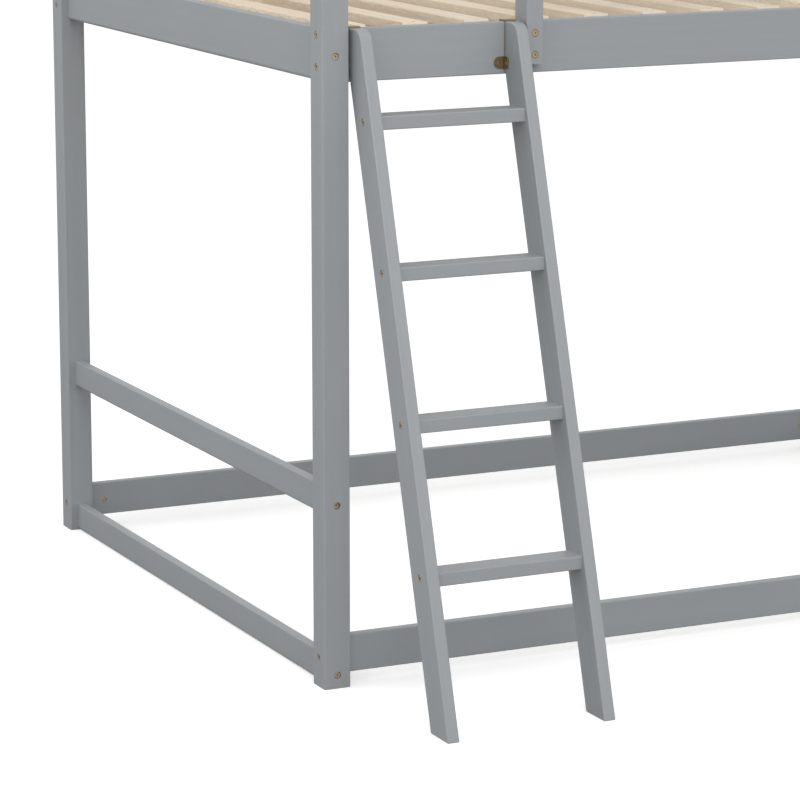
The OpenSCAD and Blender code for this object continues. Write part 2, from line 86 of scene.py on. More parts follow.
SIDE_BOARDS = [
    "lower_rail_front", "lower_rail_back", "upper_rail_front", "upper_rail_back",
    "guard_front_low", "guard_front_high", "guard_back_low", "guard_back_high",
]
END_BOARDS = [
    "low_end_rail_left", "low_end_rail_right", "mid_end_rail_left", "mid_end_rail_right",
    "upper_end_rail_left", "upper_end_rail_right",
    "guard_left_low", "guard_left_high", "guard_right_low", "guard_right_high",
]
POSTS = ["post_front_left", "post_front_right", "post_back_left", "post_back_right", "guard_post"]
RUNGS = ["ladder_rung_1", "ladder_rung_2", "ladder_rung_3", "ladder_rung_4"]
SLATS = sorted(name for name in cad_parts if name.startswith("slat_") and name[5:].isdigit())
PINE_BOARDS = ["slat_ledger_front", "slat_ledger_back", "centre_beam"]
SOCKETS = ["beam_socket_left", "beam_socket_right"]


# ---------------------------------------------------------------- node trees

class Net:
    """Short hand for wiring one node tree."""

    def __init__(self, tree):
        self.tree = tree

    def add(self, kind, inputs=None, **settings):
        made = self.tree.nodes.new(kind)
        for key, value in settings.items():
            setattr(made, key, value)
        for key, value in (inputs or {}).items():
            self.put(made.inputs[key], value)
        return made

    def put(self, socket, value):
        if isinstance(value, bpy.types.NodeSocket):
            self.tree.links.new(value, socket)
        else:
            socket.default_value = value

    def math(self, operation, *values, clamp=False):
        made = self.add("ShaderNodeMath", dict(enumerate(values)), operation=operation, use_clamp=clamp)
        return made.outputs[0]

    def vector(self, operation, *values):
        made = self.add("ShaderNodeVectorMath", dict(enumerate(values)), operation=operation)
        return made.outputs["Value" if operation in ("LENGTH", "DISTANCE", "DOT_PRODUCT") else "Vector"]

    def spread(self, value, low, high, to_low=0.0, to_high=1.0):
        """Value taken from low..high to to_low..to_high, held at both ends."""
        made = self.add("ShaderNodeMapRange", {
            "Value": value, "From Min": low, "From Max": high, "To Min": to_low, "To Max": to_high})
        return made.outputs["Result"]

    def noise(self, place, scale, detail=2.0, roughness=0.5):
        made = self.add("ShaderNodeTexNoise", {
            "Vector": place, "Scale": scale, "Detail": detail, "Roughness": roughness})
        return made.outputs["Fac"]

    def blend(self, share, first, second):
        made = self.add("ShaderNodeMix", data_type="RGBA", blend_type="MIX")
        self.put(made.inputs[0], share)
        self.put(made.inputs[6], first)
        self.put(made.inputs[7], second)
        return made.outputs[2]


def new_group(name, kind, inputs, outputs):
    """Node group with named sockets: its net, its input sockets by name and its output node."""
    tree = bpy.data.node_groups.new(name, kind)
    for label, socket_type, value in inputs:
        socket = tree.interface.new_socket(label, in_out="INPUT", socket_type=socket_type)
        if value is not None:
            socket.default_value = value
    for label, socket_type in outputs:
        tree.interface.new_socket(label, in_out="OUTPUT", socket_type=socket_type)
    net = Net(tree)
    return net, net.add("NodeGroupInput").outputs, net.add("NodeGroupOutput").inputs


# ---------------------------------------------------------------- shared surface effects

def make_wood_grain():
    """Growth rings, fibres and knots of a board whose grain runs along the place's x."""
    net, given, result = new_group("wood grain", "ShaderNodeTree", [
        ("Place", "NodeSocketVector", None),
        ("Ring Spacing", "NodeSocketFloat", 0.008),
        ("Fibre Size", "NodeSocketFloat", 0.0016),
        ("Wander", "NodeSocketFloat", 0.02),
        ("Knot Share", "NodeSocketFloat", 0.2),
    ], [("Rings", "NodeSocketFloat"), ("Fibres", "NodeSocketFloat"), ("Knots", "NodeSocketFloat")])
    place = given["Place"]
    slow = net.vector("MULTIPLY", place, (1.1, 7.0, 7.0))
    drift = net.math("MULTIPLY", net.math("SUBTRACT", net.noise(slow, 1.0, 2.0), 0.5), given["Wander"])
    cross = net.vector("MULTIPLY", net.vector("ADD", place, (0.0, 0.031, 0.054)), (0.0, 1.0, 1.0))
    turns = net.math("DIVIDE", net.math("ADD", net.vector("LENGTH", cross), drift), given["Ring Spacing"])
    rings = net.math("POWER", net.math("PINGPONG", turns, 1.0), 3.0)

    fine = net.vector("DIVIDE", net.vector("MULTIPLY", place, (0.02, 1.0, 1.0)), given["Fibre Size"])
    fibres = net.noise(fine, 1.0, 3.0, 0.6)

    cells = net.add("ShaderNodeTexVoronoi", {
        "Vector": net.vector("MULTIPLY", place, (2.6, 14.0, 14.0)), "Scale": 1.0})
    picked = net.add("ShaderNodeSeparateColor", {"Color": cells.outputs["Color"]}).outputs[0]
    chosen = net.math("LESS_THAN", picked, given["Knot Share"])
    knots = net.math("MULTIPLY", net.spread(cells.outputs["Distance"], 0.05, 0.12, 1.0, 0.0), chosen)
    net.put(result["Rings"], rings)
    net.put(result["Fibres"], fibres)
    net.put(result["Knots"], knots)
    return net.tree


def make_edge_wear():
    """Mask of the outer edges, broken up along them."""
    net, given, result = new_group("edge wear", "ShaderNodeTree", [
        ("Place", "NodeSocketVector", None),
        ("Width", "NodeSocketFloat", 0.002),
        ("Break Up", "NodeSocketFloat", 60.0),
    ], [("Edges", "NodeSocketFloat")])
    turned = net.add("ShaderNodeBevel", {"Radius": given["Width"]}, samples=4).outputs["Normal"]
    flat = net.add("ShaderNodeNewGeometry").outputs["True Normal"]
    bend = net.spread(net.vector("DISTANCE", turned, flat), 0.06, 0.55)
    patches = net.spread(net.noise(given["Place"], given["Break Up"], 2.0), 0.35, 0.65, 0.35, 1.0)
    net.put(result["Edges"], net.math("MULTIPLY", bend, patches))
    return net.tree


def make_handling():
    """Slow blotches and fine speckle, for uneven colour and sheen."""
    net, given, result = new_group("handling marks", "ShaderNodeTree", [
        ("Place", "NodeSocketVector", None),
        ("Blotch Scale", "NodeSocketFloat", 5.0),
        ("Speckle Scale", "NodeSocketFloat", 900.0),
    ], [("Blotches", "NodeSocketFloat"), ("Speckle", "NodeSocketFloat")])
    net.put(result["Blotches"], net.noise(given["Place"], given["Blotch Scale"], 3.0))
    net.put(result["Speckle"], net.noise(given["Place"], given["Speckle Scale"], 1.0))
    return net.tree


wood_grain = make_wood_grain()
edge_wear = make_edge_wear()
handling_marks = make_handling()


# ---------------------------------------------------------------- finishes

def new_finish(name, rough, metal=0.0, coat=0.0):
    """Material with a Principled BSDF: its net, the shader and the place on the object."""
    finish = bpy.data.materials.new(name)
    finish.use_nodes = True
    net = Net(finish.node_tree)
    finish.node_tree.nodes.clear()
    shader = net.add("ShaderNodeBsdfPrincipled", {"Roughness": rough, "Metallic": metal, "Coat Weight": coat})
    net.add("ShaderNodeOutputMaterial", {"Surface": shader.outputs["BSDF"]})
    place = net.add("ShaderNodeTexCoord").outputs["Object"]
    return finish, net, shader, place


def grain_place(net, place, direction):
    """The place turned so that its x runs along the wood's grain."""
    turn = Vector(direction).normalized().rotation_difference(Vector((1, 0, 0))).to_euler()
    return net.add("ShaderNodeMapping", {"Vector": place, "Rotation": tuple(turn)}).outputs["Vector"]


def use_group(net, tree, inputs):
    made = net.add("ShaderNodeGroup", node_tree=tree)
    for key, value in inputs.items():
        net.put(made.inputs[key], value)
    return made.outputs


PAINT = (0.356, 0.376, 0.390, 1)
PAINT_DEEP = (0.328, 0.348, 0.362, 1)
PAINT_WORN = (0.432, 0.453, 0.467, 1)


def painted_wood(name, direction):
    """Satin grey paint through which the grain just shows."""
    finish, net, shader, place = new_finish(name, 0.42, coat=0.08)
    shader.inputs["Coat Roughness"].default_value = 0.35
    along = grain_place(net, place, direction)
    grain = use_group(net, wood_grain, {
        "Place": along, "Ring Spacing": 0.011, "Fibre Size": 0.0014, "Wander": 0.03, "Knot Share": 0.05})
    marks = use_group(net, handling_marks, {"Place": place, "Blotch Scale": 3.5, "Speckle Scale": 700.0})
    wear = use_group(net, edge_wear, {"Place": place, "Width": 0.0022, "Break Up": 45.0})

    depth = net.math("MULTIPLY_ADD", grain["Fibres"], 0.7, net.math("MULTIPLY", grain["Rings"], 0.25))
    depth = net.math("MULTIPLY_ADD", marks["Blotches"], 0.5, net.math("MULTIPLY", depth, 0.6))
    colour = net.blend(net.spread(depth, 0.25, 0.75), PAINT_DEEP, PAINT)
    colour = net.blend(net.math("MULTIPLY", wear["Edges"], 0.25), colour, PAINT_WORN)
    net.put(shader.inputs["Base Color"], colour)
    rough = net.math("MULTIPLY_ADD", marks["Blotches"], 0.12, 0.36)
    net.put(shader.inputs["Roughness"], net.math("MULTIPLY_ADD", grain["Fibres"], 0.06, rough))
    height = net.math("MULTIPLY_ADD", grain["Fibres"], 0.75, net.math("MULTIPLY", marks["Speckle"], 0.35))
    height = net.math("MULTIPLY_ADD", grain["Rings"], -0.25, height)
    bump = net.add("ShaderNodeBump", {"Height": height, "Strength": 0.35, "Distance": 0.00018})
    net.put(shader.inputs["Normal"], bump.outputs["Normal"])
    return finish


PINE = (0.93, 0.80, 0.63, 1)
PINE_LATE = (0.80, 0.63, 0.45, 1)
PINE_KNOT = (0.22, 0.11, 0.045, 1)
PINE_EDGE = (0.50, 0.37, 0.24, 1)
PINE_SAWN_AND_SHADED = (0.78, 0.62, 0.455, 1)
PINE_END = (0.92, 0.82, 0.68, 1)


def bare_pine(name, direction, board_pitch):
    """Unfinished pine: planed faces, fibrous sawn flanks darkened with painted shade, pale end grain, each
    board unlike the next.
    """
    finish, net, shader, place = new_finish(name, 0.62)
    shader.inputs["Specular IOR Level"].default_value = 0.35
    split = net.add("ShaderNodeSeparateXYZ", {"Vector": place}).outputs
    board = net.math("FLOOR", net.math("DIVIDE", split["X"], board_pitch))
    pick = net.add("ShaderNodeTexWhiteNoise", {"W": board}, noise_dimensions="1D")
    shift = net.vector("MULTIPLY", pick.outputs["Color"], (3.0, 3.0, 0.06))
    along = grain_place(net, net.vector("ADD", place, shift), direction)
    grain = use_group(net, wood_grain, {
        "Place": along, "Ring Spacing": 0.0065, "Fibre Size": 0.0012, "Wander": 0.028, "Knot Share": 0.16})
    marks = use_group(net, handling_marks, {"Place": place, "Blotch Scale": 6.0, "Speckle Scale": 1200.0})
    wear = use_group(net, edge_wear, {"Place": place, "Width": 0.0025, "Break Up": 70.0})

    late = net.math("MULTIPLY_ADD", grain["Fibres"], 0.35, net.math("MULTIPLY", grain["Rings"], 0.55))
    colour = net.blend(net.spread(late, 0.12, 0.95), PINE, PINE_LATE)
    tint = net.add("ShaderNodeHueSaturation", {
        "Color": colour,
        "Saturation": net.spread(marks["Blotches"], 0.3, 0.7, 0.88, 1.08),
        "Value": net.spread(pick.outputs["Value"], 0.0, 1.0, 0.9, 1.06)})
    colour = net.blend(net.math("MULTIPLY", grain["Knots"], 0.8), tint.outputs["Color"], PINE_KNOT)
    outward = net.add("ShaderNodeTexCoord").outputs["Normal"]
    upright = net.math("ABSOLUTE", net.add("ShaderNodeSeparateXYZ", {"Vector": outward}).outputs["Z"])
    endwise = net.math("ABSOLUTE", net.vector("DOT_PRODUCT", outward, direction))
    end_grain = net.spread(endwise, 0.6, 0.8)
    flank = net.math("SUBTRACT", net.spread(upright, 0.75, 0.55), end_grain, clamp=True)
    saw_marks = net.noise(net.vector("MULTIPLY", along, (40.0, 420.0, 420.0)), 1.0, 4.0, 0.65)
    sawn_stubble_and_shade = net.math("MULTIPLY", net.spread(saw_marks, 0.42, 0.62), flank)
    # painted shade: the side faces are blended toward a darker sawn colour, partly the sawn texture and
    # partly shade painted on the sides between the slats
    colour = net.blend(net.math("MULTIPLY", sawn_stubble_and_shade, 0.85), colour, PINE_SAWN_AND_SHADED)
    colour = net.blend(net.math("MULTIPLY", end_grain, 0.7), colour, PINE_END)
    edges = net.math("MULTIPLY", wear["Edges"], net.spread(end_grain, 0.0, 1.0, 0.4, 0.0))
    colour = net.blend(edges, colour, PINE_EDGE)
    net.put(shader.inputs["Base Color"], colour)
    rough = net.spread(late, 0.0, 1.0, 0.66, 0.5)
    net.put(shader.inputs["Roughness"], net.math("MULTIPLY_ADD", flank, 0.2, rough))
    height = net.math("MULTIPLY_ADD", grain["Fibres"], 0.8, net.math("MULTIPLY", grain["Rings"], 0.3))
    height = net.math("MULTIPLY_ADD", grain["Knots"], 0.4, height)
    height = net.math("MULTIPLY_ADD", sawn_stubble_and_shade, 1.2, height)
    bump = net.add("ShaderNodeBump", {"Height": height, "Strength": 0.5, "Distance": 0.0003})
    net.put(shader.inputs["Normal"], bump.outputs["Normal"])
    return finish


def metal(name, bright, deep, rough, scratch_scale):
    """Plated metal, rubbed bright at its edges, with painted shade darkening its hollows."""
    finish, net, shader, place = new_finish(name, rough, metal=0.9)
    marks = use_group(net, handling_marks, {
        "Place": place, "Blotch Scale": 160.0, "Speckle Scale": scratch_scale})
    wear = use_group(net, edge_wear, {"Place": place, "Width": 0.0007, "Break Up": 400.0})
    # painted shade: ambient occlusion darkens the colour in hollows and recesses, mixed with blotchy tone
    painted_hollow_shade = net.add("ShaderNodeAmbientOcclusion", {"Distance": 0.003}, samples=6, only_local=True)
    shade = net.math("MULTIPLY", painted_hollow_shade.outputs["AO"], net.spread(marks["Blotches"], 0.3, 0.7, 0.55, 1.0))
    colour = net.blend(shade, deep, bright)
    worn = tuple(min(1.0, 1.35 * level) for level in bright[:3]) + (1,)
    net.put(shader.inputs["Base Color"], net.blend(net.math("MULTIPLY", wear["Edges"], 0.7), colour, worn))
    net.put(shader.inputs["Roughness"], net.spread(marks["Blotches"], 0.3, 0.7, rough + 0.12, rough - 0.06))
    bump = net.add("ShaderNodeBump", {"Height": marks["Speckle"], "Strength": 0.25, "Distance": 0.00008})
    net.put(shader.inputs["Normal"], bump.outputs["Normal"])
    return finish


paint_side = painted_wood("grey paint along side boards", (1, 0, 0))
paint_end = painted_wood("grey paint along end boards", (0, 1, 0))
paint_post = painted_wood("grey paint along posts", (0, 0, 1))
paint_stile = painted_wood("grey paint along stiles", (0, LEAN, 1))
slat_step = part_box(SLATS[1])[0].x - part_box(SLATS[0])[0].x
pine_slat = bare_pine("bare pine across the bed", (0, 1, 0), slat_step)
pine_long = bare_pine("bare pine along the bed", (1, 0, 0), 50.0)
brass = metal("antique brass", (0.73, 0.58, 0.365, 1), (0.30, 0.21, 0.11, 1), 0.42, 2500.0)
bronzed = metal("bronzed brass plate", (0.33, 0.245, 0.125, 1), (0.13, 0.095, 0.05, 1), 0.42, 1800.0)
steel = metal("zinc plated steel", (0.56, 0.57, 0.59, 1), (0.16, 0.16, 0.17, 1), 0.36, 1500.0)
yellow_zinc = metal("yellow zinc plated steel", (0.66, 0.55, 0.38, 1), (0.24, 0.18, 0.10, 1), 0.40, 1500.0)


def dress(names, finish):
    """The CAD boards keep their shape and take this finish."""
    for name in names:
        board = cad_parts[name]
        if not board.material_slots:
            board.data.materials.append(finish)
        for place in board.material_slots:
            place.material = finish


dress(SIDE_BOARDS + RUNGS, paint_side)
dress(END_BOARDS, paint_end)
dress(POSTS, paint_post)
dress(PINE_BOARDS, pine_long)
dress(SOCKETS, steel)


# ---------------------------------------------------------------- making meshes

def plain_copy(source, name):
    """The evaluated mesh of an object as a new object, and the object itself gone."""
    shown = source.evaluated_get(bpy.context.evaluated_depsgraph_get())
    mesh = bpy.data.meshes.new_from_object(shown)
    mesh.name = name
    made = bpy.data.objects.new(name, mesh)
    bpy.context.scene.collection.objects.link(made)
    bpy.data.objects.remove(source)
    return made


def new_object(name, shape):
    mesh = bpy.data.meshes.new(name)
    shape.to_mesh(mesh)
    shape.free()
    made = bpy.data.objects.new(name, mesh)
    bpy.context.scene.collection.objects.link(made)
    return made


def settle(piece, body, finish, nodes):
    """Gives a finished piece its material, its body and the CAD nodes it stands for."""
    piece.data.materials.clear()
    piece.data.materials.append(finish)
    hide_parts(*nodes)
    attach(piece, body)
    return piece


def smooth(piece, angle=35):
    """Rounded edges shaded round and flat faces flat."""
    name = piece.name
    piece.data.shade_smooth()
    piece.data.set_sharp_from_angle(angle=math.radians(angle))
    weighted = piece.modifiers.new("even shading", "WEIGHTED_NORMAL")
    weighted.keep_sharp = True
    made = plain_copy(piece, name + "_smooth")
    made.name = made.data.name = name
    return made


def join_or_cut(piece, others, operation):
    """Other shapes joined to a piece or cut out of it, one after another."""
    name = piece.name
    for other in others:
        step = piece.modifiers.new("with " + other.name, "BOOLEAN")
        step.operation = operation
        step.solver = "EXACT"
        step.object = other
    bpy.context.view_layer.update()
    made = plain_copy(piece, name + "_done")
    for other in others:
        bpy.data.objects.remove(other)
    made.name = made.data.name = name
    return made


def prism(name, outline, low, high, axis, bevel=0.0, segments=3, corner=20):
    """An outline drawn in the other two axes and raised along one, its corners softened."""
    shape = bmesh.new()
    order = {"x": lambda u, v, w: (w, u, v),
             "y": lambda u, v, w: (u, w, v),
             "z": lambda u, v, w: (u, v, w)}[axis]
    ring = [shape.verts.new(order(u, v, low)) for u, v in outline]
    face = shape.faces.new(ring)
    raised = bmesh.ops.extrude_face_region(shape, geom=[face])
    moved = [v for v in raised["geom"] if isinstance(v, bmesh.types.BMVert)]
    bmesh.ops.translate(shape, verts=moved, vec=order(0, 0, high - low))
    bmesh.ops.recalc_face_normals(shape, faces=shape.faces)
    if bevel:
        sharp = [e for e in shape.edges if e.calc_face_angle(0) > math.radians(corner)]
        bmesh.ops.bevel(shape, geom=sharp, offset=bevel, segments=segments, profile=0.5, affect="EDGES")
        bmesh.ops.recalc_face_normals(shape, faces=shape.faces)
    return new_object(name, shape)


def arc(centre, radius, start, end, steps):
    """Points on an arc, its angles in degrees."""
    return [(centre[0] + radius * math.cos(math.radians(start + (end - start) * i / steps)),
             centre[1] + radius * math.sin(math.radians(start + (end - start) * i / steps)))
            for i in range(steps + 1)]


# ---------------------------------------------------------------- where the fasteners sit

AT_END = 0.0004  # a point this near a fastener's end counts as on it
ROW_OFFSET = 0.13  # keeps the places clear of a whole or half millimetre


def place_in_row(points):
    """Middle of a solid in whole millimetres, to put solids in the same order in every run."""
    return [math.floor(500 * (min(p[i] for p in points) + max(p[i] for p in points)) + ROW_OFFSET)
            for i in range(3)]


def solids(node):
    """The points of each separate solid of a CAD node, in order of place."""
    shape = bmesh.new()
    shape.from_mesh(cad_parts[node].data)
    bmesh.ops.remove_doubles(shape, verts=shape.verts, dist=1e-6)
    left, found = set(shape.verts), []
    while left:
        front = [left.pop()]
        points = []
        while front:
            vert = front.pop()
            points.append(vert.co.copy())
            for edge in vert.link_edges:
                other = edge.other_vert(vert)
                if other in left:
                    left.remove(other)
                    front.append(other)
        found.append(points)
    shape.free()
    return sorted(found, key=place_in_row)


def seat_of(points, inward_to=None):
    """Outer end, direction it faces, and length of one fastener."""
    low = Vector([min(p[i] for p in points) for i in range(3)])
    high = Vector([max(p[i] for p in points) for i in range(3)])
    size, centre = high - low, (low + high) / 2
    axis = max(range(3), key=lambda i: size[i])
    if inward_to is None:
        def width_at(end):
            return max((p - centre).length_squared - (p[axis] - centre[axis]) ** 2
                       for p in points if abs(p[axis] - end) < AT_END)
        sign = 1 if width_at(high[axis]) > width_at(low[axis]) else -1
    else:
        sign = 1 if inward_to[axis] > centre[axis] else -1
    facing = Vector((0, 0, 0))
    facing[axis] = sign
    centre[axis] = high[axis] if sign > 0 else low[axis]
    return centre, facing, size[axis]


def fastener_points(name, seats, across_of):
    """Loose points that carry where each fastener faces, its turn and its length."""
    mesh = bpy.data.meshes.new(name)
    mesh.from_pydata([seat[0] for seat in seats], [], [])
    for label in ("facing", "across"):
        mesh.attributes.new(label, "FLOAT_VECTOR", "POINT")
    mesh.attributes.new("reach", "FLOAT", "POINT")
    for i, (centre, facing, reach) in enumerate(seats):
        mesh.attributes["facing"].data[i].vector = facing
        mesh.attributes["across"].data[i].vector = across_of(centre, facing)
        mesh.attributes["reach"].data[i].value = reach
    made = bpy.data.objects.new(name, mesh)
    bpy.context.scene.collection.objects.link(made)
    return made


def grow(source, tree, values, name):
    """What a geometry tree makes from an object, as a plain mesh."""
    maker = source.modifiers.new(tree.name, "NODES")
    maker.node_group = tree
    named = {item.name: item.identifier for item in tree.interface.items_tree
             if item.item_type == "SOCKET" and item.in_out == "INPUT"}
    for label, value in values.items():
        maker[named[label]] = value
    bpy.context.view_layer.update()
    return plain_copy(source, name)


# ---------------------------------------------------------------- geometry trees

def rounded_rod(net, radius, height, sides, rim, rings=6):
    """Rod whose top is at z = 0, its rim drawn in by the rim width."""
    rod = net.add("GeometryNodeMeshCylinder", {
        "Vertices": sides, "Side Segments": rings, "Radius": radius, "Depth": height}, fill_type="NGON")
    drop = net.add("ShaderNodeCombineXYZ", {"Z": net.math("MULTIPLY", height, -0.5)}).outputs[0]
    placed = net.add("GeometryNodeTransform", {"Geometry": rod.outputs["Mesh"], "Translation": drop})
    where = net.add("GeometryNodeInputPosition").outputs[0]
    z = net.add("ShaderNodeSeparateXYZ", {"Vector": where}).outputs["Z"]
    narrow = net.math("SUBTRACT", 1.0, net.math("DIVIDE", rim, radius))
    factor = net.spread(z, net.math("MULTIPLY", rim, -1.0), 0.0, 1.0, narrow)
    scale = net.add("ShaderNodeCombineXYZ", {"X": factor, "Y": factor, "Z": 1.0}).outputs[0]
    shaped = net.add("GeometryNodeSetPosition", {
        "Geometry": placed.outputs[0], "Position": net.vector("MULTIPLY", where, scale)})
    return shaped.outputs[0]


def cut_shape(net, body, cutters):
    cut = net.add("GeometryNodeMeshBoolean", {"Mesh 1": body}, operation="DIFFERENCE", solver="EXACT")
    for cutter in cutters:
        net.tree.links.new(cutter, cut.inputs["Mesh 2"])
    return cut.outputs["Mesh"]


def block(net, size):
    """Box of that size, a vector socket or value, centred on the face at z = 0."""
    return net.add("GeometryNodeMeshCube", {"Size": size}).outputs["Mesh"]


def place_fasteners(net, given, result, head, shank_radius, head_height):
    """Heads at the points, each with a shank behind it, in one mesh with a material."""
    facing = net.add("GeometryNodeInputNamedAttribute", {"Name": "facing"}, data_type="FLOAT_VECTOR")
    across = net.add("GeometryNodeInputNamedAttribute", {"Name": "across"}, data_type="FLOAT_VECTOR")
    reach = net.add("GeometryNodeInputNamedAttribute", {"Name": "reach"}, data_type="FLOAT")
    turned = net.add("FunctionNodeAxesToRotation", {
        "Primary Axis": facing.outputs[0], "Secondary Axis": across.outputs[0]},
        primary_axis="Z", secondary_axis="X").outputs[0]
    heads = net.add("GeometryNodeInstanceOnPoints", {
        "Points": given["Geometry"], "Instance": head, "Rotation": turned}).outputs[0]
    joined = net.add("GeometryNodeJoinGeometry")
    net.tree.links.new(heads, joined.inputs[0])
    if shank_radius is not None:
        rod = net.add("GeometryNodeMeshCylinder", {
            "Vertices": 12, "Radius": shank_radius, "Depth": 1.0}, fill_type="NGON").outputs["Mesh"]
        unit = net.add("GeometryNodeTransform", {"Geometry": rod, "Translation": (0, 0, -0.5)}).outputs[0]
        behind = net.vector("MULTIPLY", facing.outputs[0], net.math("MULTIPLY", head_height, -1.0))
        shifted = net.add("GeometryNodeSetPosition", {"Geometry": given["Geometry"], "Offset": behind})
        length = net.math("SUBTRACT", reach.outputs[0], head_height)
        shanks = net.add("GeometryNodeInstanceOnPoints", {
            "Points": shifted.outputs[0], "Instance": unit, "Rotation": turned,
            "Scale": net.add("ShaderNodeCombineXYZ", {"X": 1.0, "Y": 1.0, "Z": length}).outputs[0]})
        net.tree.links.new(shanks.outputs[0], joined.inputs[0])
    real = net.add("GeometryNodeRealizeInstances", {"Geometry": joined.outputs[0]}).outputs[0]
    dressed = net.add("GeometryNodeSetMaterial", {"Geometry": real, "Material": given["Material"]})
    net.put(result["Geometry"], dressed.outputs[0])


def fastener_group(name, sizes):
    return new_group(name, "GeometryNodeTree", [
        ("Geometry", "NodeSocketGeometry", None), ("Material", "NodeSocketMaterial", None)]
        + [(label, "NodeSocketFloat", value) for label, value in sizes],
        [("Geometry", "NodeSocketGeometry")])


def make_bolt_tree():
    """Furniture bolts: flat round heads with a hexagon socket."""
    net, given, result = fastener_group("furniture bolts", [
        ("Head Radius", HEAD_RADIUS), ("Head Height", HEAD_HEIGHT), ("Rim", 0.0006),
        ("Socket Radius", 0.0030), ("Socket Depth", 0.0026), ("Shank Radius", SHANK_RADIUS)])
    head = rounded_rod(net, given["Head Radius"], given["Head Height"], 36, given["Rim"])
    socket = net.add("GeometryNodeMeshCylinder", {
        "Vertices": 6, "Radius": given["Socket Radius"],
        "Depth": net.math("MULTIPLY", given["Socket Depth"], 2.0)}, fill_type="NGON").outputs["Mesh"]
    place_fasteners(net, given, result, cut_shape(net, head, [socket]),
                    given["Shank Radius"], given["Head Height"])
    return net.tree


def make_nut_tree():
    """Barrel nuts: a slot in the end to turn them by, and a hole across for the bolt."""
    net, given, result = fastener_group("barrel nuts", [
        ("Radius", NUT_RADIUS), ("Length", NUT_LENGTH), ("Rim", 0.0006), ("Slot Width", 0.0014),
        ("Slot Depth", 0.001), ("Hole Radius", SHANK_RADIUS + 0.0002), ("Hole Depth", 0.009)])
    body = rounded_rod(net, given["Radius"], given["Length"], 32, given["Rim"], rings=24)
    slot = block(net, net.add("ShaderNodeCombineXYZ", {
        "X": 0.03, "Y": given["Slot Width"], "Z": net.math("MULTIPLY", given["Slot Depth"], 2.0)}).outputs[0])
    hole = net.add("GeometryNodeMeshCylinder", {
        "Vertices": 24, "Radius": given["Hole Radius"], "Depth": 0.03}, fill_type="NGON").outputs["Mesh"]
    deep = net.add("ShaderNodeCombineXYZ", {"Z": net.math("MULTIPLY", given["Hole Depth"], -1.0)}).outputs[0]
    across = net.add("GeometryNodeTransform", {
        "Geometry": hole, "Translation": deep, "Rotation": (0, math.pi / 2, 0)}).outputs[0]
    place_fasteners(net, given, result, cut_shape(net, body, [slot, across]), None, None)
    return net.tree


def make_screw_tree():
    """Countersunk wood screws with a cross recess."""
    net, given, result = fastener_group("wood screws", [
        ("Head Radius", SCREW_HEAD_RADIUS), ("Head Height", SCREW_HEAD_HEIGHT), ("Recess Length", 0.0048),
        ("Recess Width", 0.001), ("Recess Depth", 0.0012), ("Shank Radius", SCREW_RADIUS)])
    cone = net.add("GeometryNodeMeshCone", {
        "Vertices": 28, "Radius Top": given["Head Radius"], "Radius Bottom": given["Shank Radius"],
        "Depth": given["Head Height"]}, fill_type="NGON").outputs["Mesh"]
    drop = net.add("ShaderNodeCombineXYZ", {"Z": net.math("MULTIPLY", given["Head Height"], -1.0)}).outputs[0]
    head = net.add("GeometryNodeTransform", {"Geometry": cone, "Translation": drop}).outputs[0]
    twice = net.math("MULTIPLY", given["Recess Depth"], 2.0)
    long, wide = given["Recess Length"], given["Recess Width"]
    bars = [block(net, net.add("ShaderNodeCombineXYZ", {"X": x, "Y": y, "Z": twice}).outputs[0])
            for x, y in ((long, wide), (wide, long))]
    place_fasteners(net, given, result, cut_shape(net, head, bars),
                    given["Shank Radius"], given["Head Height"])
    return net.tree


